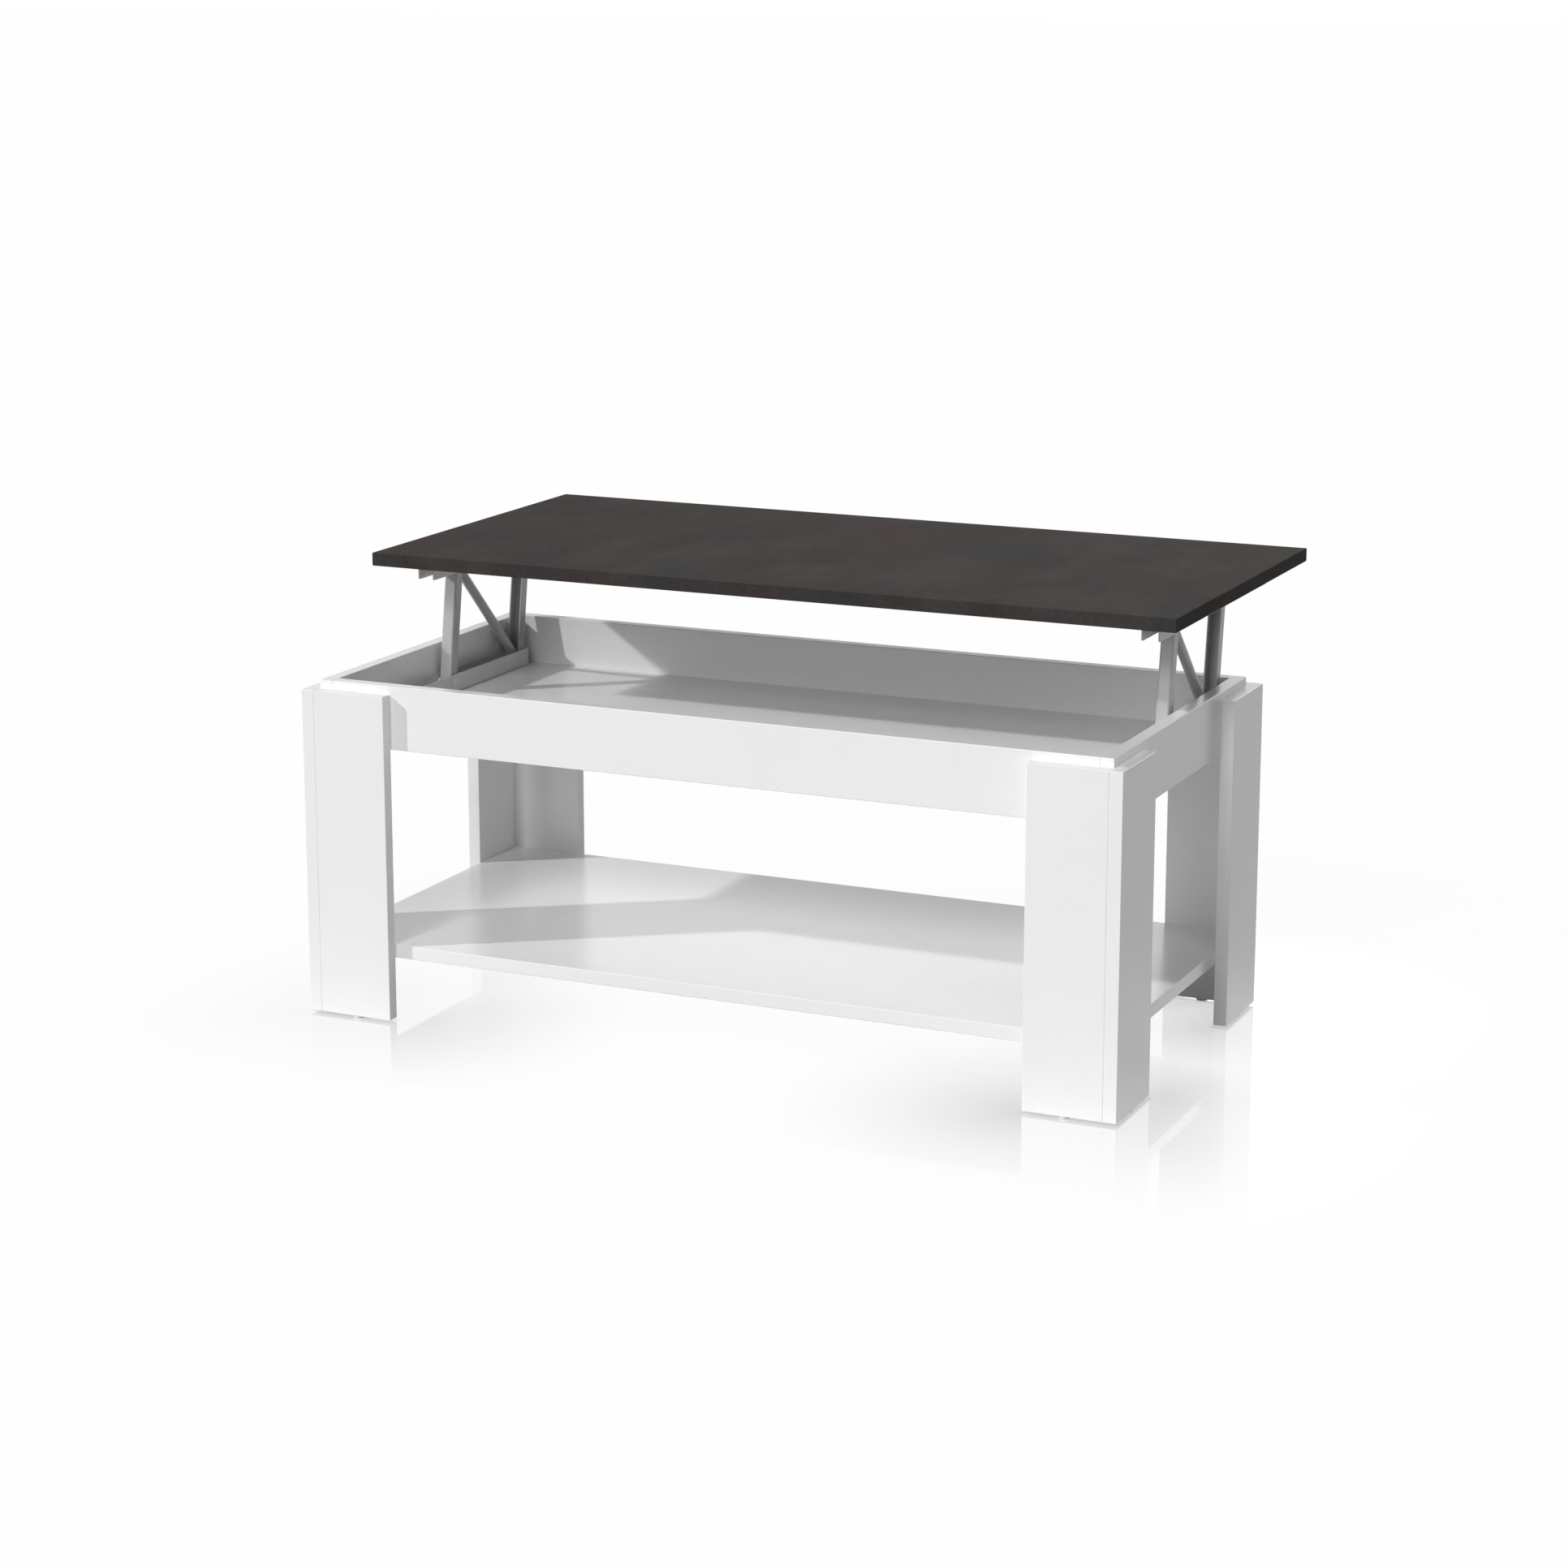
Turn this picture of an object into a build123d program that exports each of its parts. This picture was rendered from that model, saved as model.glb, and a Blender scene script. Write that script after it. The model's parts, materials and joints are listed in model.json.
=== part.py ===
"""Lift top coffee table, drawn with the top raised. Millimetres.

The origin is the middle of the footprint on the floor. X runs along the table, minus Y is the long
front side, plus Y is the side the top moves towards when it is raised, and Z is up.
"""
import os
from math import asin, cos, hypot, radians, sin

from build123d import *

os.makedirs("parts", exist_ok=True)

# Overall plan and boards
LENGTH = 1020.0
DEPTH = 500.0
LEG_BOARD = 16.0
APRON_BOARD = 16.0
TRAY_BOARD = 16.0
SHELF_BOARD = 16.0
TOP_BOARD = 16.0
EDGE_ROUND = 0.8

# Heights of the base
GLIDE_HEIGHT = 3.0
LEG_HEIGHT = 396.0
LEG_WIDTH = 110.0
APRON_RISE = 10.0
APRON_HEIGHT = 76.0
SHELF_HEIGHT = 77.0

# Steel channels of the lift mechanism
RAIL_END_GAP = 18.0
RAIL_HEIGHT = 22.0
RAIL_SHEET = 2.0
LOWER_RAIL_WIDTH = 24.0
UPPER_RAIL_WIDTH = 22.0
RAIL_SIDE_GAP = 2.0
RAIL_CORNER = 1.0
ARM_WIDTH = 16.0
ARM_DEPTH = 16.0
ARM_SHEET = 1.5
BEND_OUTSIDE = 2.6
BEND_INSIDE = 0.9

# Linkage: pivot height is measured from the outside of a rail's web
PIVOT_HEIGHT = 11.0
REAR_PIVOT_INSET = 30.0
PIVOT_SPACING = 174.0
ARM_LENGTH = 150.0
OPEN_LEAN = 8.5
CLOSED_GAP = 0.5

# Pins, washers and stops
PIN_RADIUS = 3.0
PIN_HEAD_RADIUS = 5.5
PIN_HEAD_HEIGHT = 1.2
PIN_HEAD_FLAT = 3.6
WASHER_RADIUS = 7.0
STOP_RADIUS = 3.0
STOP_ABOVE_PIVOT = 8.0
RUNNING_FIT = 0.05
SIDE_PLAY = 0.1
STOP_GAP = 0.3

# Diagonal struts
TUBE_RADIUS = 6.0
TUBE_BORE = 5.0
ROD_RADIUS = 3.0
EYE_RADIUS = 6.0
EYE_LENGTH = 12.0
NECK_RADIUS = 4.0
NECK_LENGTH = 10.0
TUBE_PLUG = 4.0
MOUTH_GAP = 18.0
ROD_OVERLAP = 30.0
TUBE_LIP = 0.4

# Fasteners of the boards
DOWEL_RADIUS = 4.0
DOWEL_IN_FACE = 10.0
DOWEL_IN_EDGE = 20.0
DOWEL_INSET = 50.0
TRAY_DOWEL_PITCH = 300.0
TRAY_END_DOWEL_PITCH = 200.0
CORNER_SCREW_RADIUS = 3.0
CORNER_SCREW_HEAD = 5.0
CORNER_SCREW_LENGTH = 50.0
CORNER_SCREW_INSET = 13.0
WOOD_SCREW_RADIUS = 2.0
WOOD_SCREW_HEAD = 4.0
LEG_SCREW_LENGTH = 26.0
LEG_SCREW_INSET = 18.0
LEG_SCREW_PITCH = 30.0
LEG_SCREW_DROP = 26.0
CAP_RADIUS = 6.5
CAP_THICKNESS = 0.5
RAIL_SCREW_LENGTH = 13.0
RAIL_SCREW_INSET = 35.0
RAIL_SCREW_COUNT = 4
SCREW_HEAD_ANGLE = 90.0
CAM_RADIUS = 7.5
CAM_DEPTH = 12.5
CAM_SETBACK = 34.0
CAM_BOLT_RADIUS = 3.5
CAM_BOLT_IN_LEG = 11.0
CAM_SIDE_INSET = 60.0
CAM_FACE_INSET = 80.0
GLIDE_RADIUS = 7.0
GLIDE_CHAMFER = 1.0
GLIDE_NAIL_RADIUS = 1.2
GLIDE_NAIL_LENGTH = 14.0

# Faces and heights that follow from the values above
half_length = LENGTH / 2
half_depth = DEPTH / 2
apron_x = half_length - LEG_BOARD
apron_y = half_depth - LEG_BOARD
inner_x = apron_x - APRON_BOARD
inner_y = apron_y - APRON_BOARD
apron_top = LEG_HEIGHT + APRON_RISE
apron_bottom = apron_top - APRON_HEIGHT
tray_top = apron_bottom + TRAY_BOARD
tray_middle = apron_bottom + TRAY_BOARD / 2
shelf_middle = SHELF_HEIGHT + SHELF_BOARD / 2
shelf_top = SHELF_HEIGHT + SHELF_BOARD
rail_x = inner_x - RAIL_SIDE_GAP - LOWER_RAIL_WIDTH / 2
rail_length = 2 * (inner_y - RAIL_END_GAP)

# The linkage at rest (raised), and the turn that lays the top on the aprons
lean = radians(OPEN_LEAN)
low_z = tray_top + PIVOT_HEIGHT
closed_lift = apron_top + CLOSED_GAP - PIVOT_HEIGHT - low_z
closed_angle = asin(closed_lift / ARM_LENGTH)
arm_along = (0, sin(lean), cos(lean))
rear_low_y = inner_y - REAR_PIVOT_INSET
front_low_y = rear_low_y - PIVOT_SPACING
low_pivots = (front_low_y, rear_low_y)
high_pivots = tuple(y + ARM_LENGTH * sin(lean) for y in low_pivots)
high_z = low_z + ARM_LENGTH * cos(lean)
underside = high_z + PIVOT_HEIGHT
top_y = ARM_LENGTH * (sin(lean) + cos(closed_angle))

# The strut runs from the rear lower pin to the front upper pin
strut_y = high_pivots[0] - low_pivots[1]
strut_z = high_z - low_z
strut_open = hypot(strut_y, strut_z)
strut_closed = hypot(PIVOT_SPACING + ARM_LENGTH * cos(closed_angle), closed_lift)
strut_along = (0, strut_y / strut_open, strut_z / strut_open)
strut_back = (0, -strut_along[1], -strut_along[2])
tube_reach = strut_open - MOUTH_GAP
rod_reach = strut_closed - tube_reach + ROD_OVERLAP

SIDES = (("left", -1), ("right", 1))
ENDS = (("front", -1), ("rear", 1))
ALONG_X = (1, 0, 0)
ALONG_Y = (0, 1, 0)
DOWN = (0, 0, -1)
FROM_BASE = (Align.CENTER, Align.CENTER, Align.MIN)


def save(piece, name):
    """Label one finished piece and write its STEP file."""
    piece.part.label = name
    export_step(piece.part, f"parts/{name}.step")


def span(sign, near, far):
    """Return the two limits, low then high, of a range on one side of the middle."""
    return tuple(sorted((sign * near, sign * far)))


def board(x_limits, y_limits, z_limits):
    """Add one board with softly rounded edges to the open part."""
    x_low, x_high = x_limits
    y_low, y_high = y_limits
    z_low, z_high = z_limits
    with BuildSketch(Plane.XY.offset(z_low)) as outline:
        with Locations(((x_low + x_high) / 2, (y_low + y_high) / 2)):
            Rectangle(x_high - x_low, y_high - y_low)
    extrude(outline.sketch, amount=z_high - z_low)
    fillet(edges(), EDGE_ROUND)


def drill(planes, radius, depth):
    """Bore plain holes into the open part, each along its plane's axis."""
    with Locations(*planes):
        Hole(radius, depth)


def sink(planes, radius, head, depth):
    """Bore countersunk screw holes into the open part, heads on the planes."""
    with Locations(*planes):
        CounterSinkHole(radius, head, depth, SCREW_HEAD_ANGLE)


def rods(planes, radius, length):
    """Add round bars to the open part, each starting on its plane."""
    with Locations(*planes):
        Cylinder(radius, length, align=FROM_BASE)


def screws(planes, radius, head, length):
    """Add countersunk screws to the open part, heads flush with the planes and tips behind them."""
    tips = [plane.offset(-length) for plane in planes]
    seats = [plane.offset(radius - head) for plane in planes]
    rods(tips, radius, length)
    with Locations(*seats):
        Cone(radius, head, head - radius, align=FROM_BASE)


def channel(width, depth, sheet):
    """Add a U section to the open sketch, its web on the low side and its open side up."""
    Rectangle(width, depth)
    fillet(vertices().group_by(Axis.Y)[0], BEND_OUTSIDE)
    with Locations((0, depth / 2 + sheet)):
        RectangleRounded(width - 2 * sheet, 2 * depth, BEND_INSIDE, mode=Mode.SUBTRACT)


# Drilling places shared by the boards and their fasteners
dowel_heights = (
    GLIDE_HEIGHT + DOWEL_INSET,
    (GLIDE_HEIGHT + LEG_HEIGHT) / 2,
    LEG_HEIGHT - DOWEL_INSET,
)
leg_board_middle = half_depth - LEG_BOARD / 2
apron_board_middle = apron_y - APRON_BOARD / 2
corner_heights = (apron_bottom + CORNER_SCREW_INSET, apron_top - CORNER_SCREW_INSET)
leg_screw_z = LEG_HEIGHT - LEG_SCREW_DROP


def leg_dowel_planes(sx, sy):
    """Return the dowel places of one leg, on the inner face of its side board."""
    return [
        Plane((sx * apron_x, sy * leg_board_middle, z), z_dir=(-sx, 0, 0))
        for z in dowel_heights
    ]


def corner_screw_planes(sx, sy):
    """Return the screw places of one apron corner, on the outside of the short apron."""
    return [
        Plane((sx * apron_x, sy * apron_board_middle, z), z_dir=(sx, 0, 0))
        for z in corner_heights
    ]


def face_screw_planes(sx, sy):
    """Return the screw places of one leg's face board, on the inside of the long apron."""
    return [
        Plane((sx * (inner_x - LEG_SCREW_INSET - step), sy * inner_y, leg_screw_z), z_dir=(0, -sy, 0))
        for step in (0, LEG_SCREW_PITCH)
    ]


def side_screw_planes(sx, sy):
    """Return the screw places of one leg's side board, on the inside of the short apron."""
    return [
        Plane((sx * inner_x, sy * (inner_y - LEG_SCREW_INSET - step), leg_screw_z), z_dir=(-sx, 0, 0))
        for step in (0, LEG_SCREW_PITCH)
    ]


def side_cam_plane(sx, sy):
    """Return where a shelf bolt enters one leg's side board."""
    return Plane((sx * apron_x, sy * (half_depth - CAM_SIDE_INSET), shelf_middle), z_dir=(-sx, 0, 0))


def face_cam_plane(sx, sy):
    """Return where a shelf bolt enters one leg's face board."""
    return Plane((sx * (half_length - CAM_FACE_INSET), sy * apron_y, shelf_middle), z_dir=(0, -sy, 0))


def side_glide_plane(sx, sy):
    """Return the place of the glide under one leg's side board."""
    return Plane((sx * (half_length - LEG_BOARD / 2), sy * (half_depth - LEG_WIDTH / 2), GLIDE_HEIGHT))


def face_glide_plane(sx, sy):
    """Return the place of the glide under one leg's face board."""
    middle = half_length - (LEG_BOARD + LEG_WIDTH) / 2
    return Plane((sx * middle, sy * leg_board_middle, GLIDE_HEIGHT))


def tray_side_planes(sy):
    """Return the tray dowel places on one long apron."""
    return [
        Plane((x, sy * inner_y, tray_middle), z_dir=(0, -sy, 0))
        for x in (-TRAY_DOWEL_PITCH, 0, TRAY_DOWEL_PITCH)
    ]


def tray_end_planes(sx):
    """Return the tray dowel places on one short apron."""
    return [
        Plane((sx * inner_x, y, tray_middle), z_dir=(-sx, 0, 0))
        for y in (-TRAY_END_DOWEL_PITCH / 2, TRAY_END_DOWEL_PITCH / 2)
    ]


screw_pitch = (rail_length - 2 * RAIL_SCREW_INSET) / (RAIL_SCREW_COUNT - 1)
rail_screw_steps = [
    RAIL_SCREW_INSET - rail_length / 2 + screw_pitch * index for index in range(RAIL_SCREW_COUNT)
]


def lower_screw_planes(sx):
    """Return the screw places of one lower rail, on the inside of its web."""
    return [Plane((sx * rail_x, y, tray_top + RAIL_SHEET)) for y in rail_screw_steps]


def upper_screw_planes(sx):
    """Return the screw places of one upper rail, on the inside of its web."""
    return [
        Plane((sx * rail_x, top_y + y, underside - RAIL_SHEET), z_dir=DOWN) for y in rail_screw_steps
    ]


# The four corners: their names and the signs of X and Y
corners = [(f"{end}_{side}", sx, sy) for end, sy in ENDS for side, sx in SIDES]

# Legs: the side board reaches the long face, the face board butts against it
for corner, sx, sy in corners:
    with BuildPart() as leg_side:
        board(
            span(sx, apron_x, half_length),
            span(sy, half_depth - LEG_WIDTH, half_depth),
            (GLIDE_HEIGHT, LEG_HEIGHT),
        )
        drill(leg_dowel_planes(sx, sy), DOWEL_RADIUS, DOWEL_IN_FACE)
        sink(side_screw_planes(sx, sy), WOOD_SCREW_RADIUS, WOOD_SCREW_HEAD, LEG_SCREW_LENGTH)
        drill([side_cam_plane(sx, sy)], CAM_BOLT_RADIUS, CAM_BOLT_IN_LEG)
        drill([side_glide_plane(sx, sy)], GLIDE_NAIL_RADIUS, GLIDE_NAIL_LENGTH)
    save(leg_side, f"leg_{corner}_side")

    with BuildPart() as leg_face:
        board(
            span(sx, half_length - LEG_WIDTH, apron_x),
            span(sy, apron_y, half_depth),
            (GLIDE_HEIGHT, LEG_HEIGHT),
        )
        drill(leg_dowel_planes(sx, sy), DOWEL_RADIUS, DOWEL_IN_EDGE)
        sink(face_screw_planes(sx, sy), WOOD_SCREW_RADIUS, WOOD_SCREW_HEAD, LEG_SCREW_LENGTH)
        drill([face_cam_plane(sx, sy)], CAM_BOLT_RADIUS, CAM_BOLT_IN_LEG)
        drill([face_glide_plane(sx, sy)], GLIDE_NAIL_RADIUS, GLIDE_NAIL_LENGTH)
    save(leg_face, f"leg_{corner}_face")

# Long aprons, between the short ones
for end, sy in ENDS:
    with BuildPart() as apron_long:
        board((-inner_x, inner_x), span(sy, inner_y, apron_y), (apron_bottom, apron_top))
        drill(tray_side_planes(sy), DOWEL_RADIUS, DOWEL_IN_FACE)
        for _, sx in SIDES:
            sink(corner_screw_planes(sx, sy), CORNER_SCREW_RADIUS, CORNER_SCREW_HEAD, CORNER_SCREW_LENGTH)
            sink(face_screw_planes(sx, sy), WOOD_SCREW_RADIUS, WOOD_SCREW_HEAD, LEG_SCREW_LENGTH)
    save(apron_long, f"apron_{end}")

# Short aprons, the full depth of the box
for side, sx in SIDES:
    with BuildPart() as apron_short:
        board(span(sx, inner_x, apron_x), (-apron_y, apron_y), (apron_bottom, apron_top))
        drill(tray_end_planes(sx), DOWEL_RADIUS, DOWEL_IN_FACE)
        for _, sy in ENDS:
            sink(corner_screw_planes(sx, sy), CORNER_SCREW_RADIUS, CORNER_SCREW_HEAD, CORNER_SCREW_LENGTH)
            sink(side_screw_planes(sx, sy), WOOD_SCREW_RADIUS, WOOD_SCREW_HEAD, LEG_SCREW_LENGTH)
    save(apron_short, f"apron_{side}")

# Floor of the storage box
with BuildPart() as tray_floor:
    board((-inner_x, inner_x), (-inner_y, inner_y), (apron_bottom, tray_top))
    for _, sy in ENDS:
        drill(tray_side_planes(sy), DOWEL_RADIUS, DOWEL_IN_EDGE)
    for _, sx in SIDES:
        drill(tray_end_planes(sx), DOWEL_RADIUS, DOWEL_IN_EDGE)
        sink(lower_screw_planes(sx), WOOD_SCREW_RADIUS, WOOD_SCREW_HEAD, RAIL_SCREW_LENGTH)
save(tray_floor, "tray_floor")

# Lower shelf, with a pocket for each cam in its underside
cam_planes = [side_cam_plane(sx, sy) for _, sx, sy in corners]
cam_planes += [face_cam_plane(sx, sy) for _, sx, sy in corners]
cam_middles = [plane.offset(CAM_SETBACK).origin for plane in cam_planes]
cam_seats = [Plane((point.X, point.Y, SHELF_HEIGHT)) for point in cam_middles]

with BuildPart() as shelf:
    board((-apron_x, apron_x), (-apron_y, apron_y), (SHELF_HEIGHT, shelf_top))
    drill(cam_planes, CAM_BOLT_RADIUS, CAM_SETBACK)
    drill(cam_seats, CAM_RADIUS, CAM_DEPTH)
save(shelf, "shelf")

with BuildPart() as shelf_cams:
    rods(cam_seats, CAM_RADIUS, CAM_DEPTH)
    drill(cam_planes, CAM_BOLT_RADIUS, CAM_SETBACK)
save(shelf_cams, "shelf_cams")

with BuildPart() as shelf_cam_bolts:
    bolt_starts = [plane.offset(-CAM_BOLT_IN_LEG) for plane in cam_planes]
    rods(bolt_starts, CAM_BOLT_RADIUS, CAM_BOLT_IN_LEG + CAM_SETBACK)
save(shelf_cam_bolts, "shelf_cam_bolts")

# Nail-on glides under the leg boards
with BuildPart() as foot_glides:
    glide_planes = [side_glide_plane(sx, sy) for _, sx, sy in corners]
    glide_planes += [face_glide_plane(sx, sy) for _, sx, sy in corners]
    rods([plane.offset(-GLIDE_HEIGHT) for plane in glide_planes], GLIDE_RADIUS, GLIDE_HEIGHT)
    chamfer(edges().group_by(Axis.Z)[0], GLIDE_CHAMFER)
    rods(glide_planes, GLIDE_NAIL_RADIUS, GLIDE_NAIL_LENGTH)
save(foot_glides, "foot_glides")

# Dowels and screws of the boards
dowel_length = DOWEL_IN_FACE + DOWEL_IN_EDGE
with BuildPart() as leg_dowels:
    for _, sx, sy in corners:
        starts = [plane.offset(-DOWEL_IN_FACE) for plane in leg_dowel_planes(sx, sy)]
        rods(starts, DOWEL_RADIUS, dowel_length)
save(leg_dowels, "leg_dowels")

with BuildPart() as tray_dowels:
    for _, sign in ENDS:
        starts = [plane.offset(-DOWEL_IN_FACE) for plane in tray_side_planes(sign) + tray_end_planes(sign)]
        rods(starts, DOWEL_RADIUS, dowel_length)
save(tray_dowels, "tray_dowels")

with BuildPart() as corner_screws:
    for _, sx, sy in corners:
        screws(corner_screw_planes(sx, sy), CORNER_SCREW_RADIUS, CORNER_SCREW_HEAD, CORNER_SCREW_LENGTH)
save(corner_screws, "corner_screws")

with BuildPart() as leg_screws:
    for _, sx, sy in corners:
        places = face_screw_planes(sx, sy) + side_screw_planes(sx, sy)
        screws(places, WOOD_SCREW_RADIUS, WOOD_SCREW_HEAD, LEG_SCREW_LENGTH)
save(leg_screws, "leg_screws")

with BuildPart() as leg_screw_caps:
    for _, sx, sy in corners:
        rods(face_screw_planes(sx, sy) + side_screw_planes(sx, sy), CAP_RADIUS, CAP_THICKNESS)
save(leg_screw_caps, "leg_screw_caps")

# Lower rails: channels open upwards, standing on the tray floor
stop_reach = ARM_DEPTH / 2 + STOP_GAP + STOP_RADIUS
stop_y = front_low_y + STOP_ABOVE_PIVOT * sin(lean) + stop_reach * cos(lean)
stop_z = low_z + STOP_ABOVE_PIVOT * cos(lean) - stop_reach * sin(lean)


def cross_plane(sx, y, z):
    """Return a plane across one mechanism, on its middle, facing along X."""
    return Plane((sx * rail_x, y, z), x_dir=ALONG_Y, z_dir=ALONG_X)


for side, sx in SIDES:
    with BuildPart() as lower_rail:
        end_plane = Plane(
            (sx * rail_x, rail_length / 2, tray_top + RAIL_HEIGHT / 2), x_dir=ALONG_X, z_dir=(0, -1, 0)
        )
        with BuildSketch(end_plane):
            channel(LOWER_RAIL_WIDTH, RAIL_HEIGHT, RAIL_SHEET)
        extrude(amount=rail_length)
        fillet(edges().filter_by(Axis.X).group_by(Axis.Z)[-1], RAIL_CORNER)
        drill([cross_plane(sx, y, low_z) for y in low_pivots], PIN_RADIUS, LOWER_RAIL_WIDTH)
        drill([cross_plane(sx, stop_y, stop_z)], STOP_RADIUS, LOWER_RAIL_WIDTH)
        sink(lower_screw_planes(sx), WOOD_SCREW_RADIUS, WOOD_SCREW_HEAD, RAIL_SCREW_LENGTH)
    save(lower_rail, f"lower_rail_{side}")

with BuildPart() as lower_rail_screws:
    for _, sx in SIDES:
        screws(lower_screw_planes(sx), WOOD_SCREW_RADIUS, WOOD_SCREW_HEAD, RAIL_SCREW_LENGTH)
save(lower_rail_screws, "lower_rail_screws")


def rivets(planes, width):
    """Add pivot pins to the open part, with a low head on each outer face of a rail."""
    rods([plane.offset(-width / 2) for plane in planes], PIN_RADIUS, width)
    outer = [plane.offset(width / 2) for plane in planes]
    inner = [Plane(plane.origin, z_dir=-plane.z_dir).offset(width / 2) for plane in planes]
    with Locations(*outer, *inner):
        Cone(PIN_HEAD_RADIUS, PIN_HEAD_FLAT, PIN_HEAD_HEIGHT, align=FROM_BASE)


def washers(planes, rail_width):
    """Add the spacing washers on both sides of an arm, inside a rail."""
    gap = rail_width / 2 - RAIL_SHEET - ARM_WIDTH / 2
    inner = ARM_WIDTH / 2 + SIDE_PLAY
    starts = [plane.offset(inner) for plane in planes]
    starts += [plane.offset(-inner - gap + SIDE_PLAY) for plane in planes]
    rods(starts, WASHER_RADIUS, gap - SIDE_PLAY)
    drill(starts, PIN_RADIUS + RUNNING_FIT, rail_width)


low_planes = [cross_plane(sx, y, low_z) for _, sx in SIDES for y in low_pivots]
high_planes = [cross_plane(sx, y, high_z) for _, sx in SIDES for y in high_pivots]

with BuildPart() as lower_pivot_pins:
    rivets(low_planes, LOWER_RAIL_WIDTH)
save(lower_pivot_pins, "lower_pivot_pins")

with BuildPart() as lower_pivot_washers:
    washers(low_planes, LOWER_RAIL_WIDTH)
save(lower_pivot_washers, "lower_pivot_washers")

with BuildPart() as stop_pins:
    stop_planes = [cross_plane(sx, stop_y, stop_z) for _, sx in SIDES]
    rods([plane.offset(-LOWER_RAIL_WIDTH / 2) for plane in stop_planes], STOP_RADIUS, LOWER_RAIL_WIDTH)
save(stop_pins, "stop_pins")

# Arms: channels with round ends, the front one open to the rear and the rear one open to the front
for end, sy in ENDS:
    low_y = front_low_y if sy < 0 else rear_low_y
    for side, sx in SIDES:
        with BuildPart() as arm:
            foot = Plane((sx * rail_x, low_y, low_z), x_dir=(-sy, 0, 0), z_dir=arm_along)
            with BuildSketch(foot.offset(-ARM_DEPTH / 2)):
                channel(ARM_WIDTH, ARM_DEPTH, ARM_SHEET)
            extrude(amount=ARM_LENGTH + ARM_DEPTH)
            side_view = Plane(foot.offset(ARM_LENGTH / 2).origin, x_dir=arm_along, z_dir=ALONG_X)
            with BuildSketch(side_view):
                SlotCenterToCenter(ARM_LENGTH, ARM_DEPTH)
            extrude(amount=ARM_WIDTH, both=True, mode=Mode.INTERSECT)
            pivots = [foot.origin, foot.offset(ARM_LENGTH).origin]
            drill([Plane(point, z_dir=ALONG_X) for point in pivots], PIN_RADIUS + RUNNING_FIT, ARM_WIDTH)
        save(arm, f"{end}_arm_{side}")


def eye(plane):
    """Add the cross eye of a strut end to the open part, with the neck that carries the strut."""
    with BuildSketch(Plane(plane.origin, z_dir=ALONG_X)) as ring:
        Circle(EYE_RADIUS)
    extrude(ring.sketch, amount=EYE_LENGTH / 2, both=True)
    rods([plane], NECK_RADIUS, NECK_LENGTH)
    drill([Plane(plane.origin, z_dir=ALONG_X)], PIN_RADIUS + RUNNING_FIT, EYE_LENGTH)


# Struts: a closed tube on the rear lower pin and a rod on the front upper pin
for side, sx in SIDES:
    tube_plane = Plane((sx * rail_x, low_pivots[1], low_z), x_dir=ALONG_X, z_dir=strut_along)
    with BuildPart() as strut_tube:
        rods([tube_plane.offset(NECK_LENGTH)], TUBE_RADIUS, tube_reach - NECK_LENGTH)
        drill([tube_plane.offset(tube_reach)], TUBE_BORE, tube_reach - NECK_LENGTH - TUBE_PLUG)
        fillet(edges().filter_by(GeomType.CIRCLE), TUBE_LIP)
        eye(tube_plane)
    save(strut_tube, f"strut_tube_{side}")

    rod_plane = Plane((sx * rail_x, high_pivots[0], high_z), x_dir=ALONG_X, z_dir=strut_back)
    with BuildPart() as strut_rod:
        rods([rod_plane.offset(NECK_LENGTH)], ROD_RADIUS, rod_reach - NECK_LENGTH)
        eye(rod_plane)
    save(strut_rod, f"strut_rod_{side}")

# The lifting top and the rails under it
with BuildPart() as tabletop:
    board(
        (-half_length, half_length),
        (top_y - half_depth, top_y + half_depth),
        (underside, underside + TOP_BOARD),
    )
    for _, sx in SIDES:
        sink(upper_screw_planes(sx), WOOD_SCREW_RADIUS, WOOD_SCREW_HEAD, RAIL_SCREW_LENGTH)
save(tabletop, "tabletop")

for side, sx in SIDES:
    with BuildPart() as upper_rail:
        end_plane = Plane(
            (sx * rail_x, top_y - rail_length / 2, underside - RAIL_HEIGHT / 2),
            x_dir=ALONG_X,
            z_dir=ALONG_Y,
        )
        with BuildSketch(end_plane):
            channel(UPPER_RAIL_WIDTH, RAIL_HEIGHT, RAIL_SHEET)
        extrude(amount=rail_length)
        fillet(edges().filter_by(Axis.X).group_by(Axis.Z)[0], RAIL_CORNER)
        drill([cross_plane(sx, y, high_z) for y in high_pivots], PIN_RADIUS, UPPER_RAIL_WIDTH)
        sink(upper_screw_planes(sx), WOOD_SCREW_RADIUS, WOOD_SCREW_HEAD, RAIL_SCREW_LENGTH)
    save(upper_rail, f"upper_rail_{side}")

with BuildPart() as upper_rail_screws:
    for _, sx in SIDES:
        screws(upper_screw_planes(sx), WOOD_SCREW_RADIUS, WOOD_SCREW_HEAD, RAIL_SCREW_LENGTH)
save(upper_rail_screws, "upper_rail_screws")

with BuildPart() as upper_pivot_pins:
    rivets(high_planes, UPPER_RAIL_WIDTH)
save(upper_pivot_pins, "upper_pivot_pins")

with BuildPart() as upper_pivot_washers:
    washers(high_planes, UPPER_RAIL_WIDTH)
save(upper_pivot_washers, "upper_pivot_washers")
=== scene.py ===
# %% [markdown]
# # The looks of a coffee table with a lifting top
# The table is a white board base with a dark top that rises and moves to one
# side on two swinging steel arms at each end. The boards, rails, arms, struts and
# fixings already exist as solid parts, and this lesson gives them their finishes,
# their light and their camera. Nothing of the solid table is moved here, because
# the same parts also carry the motion.

# %% Load the table
import json
import math

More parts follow.
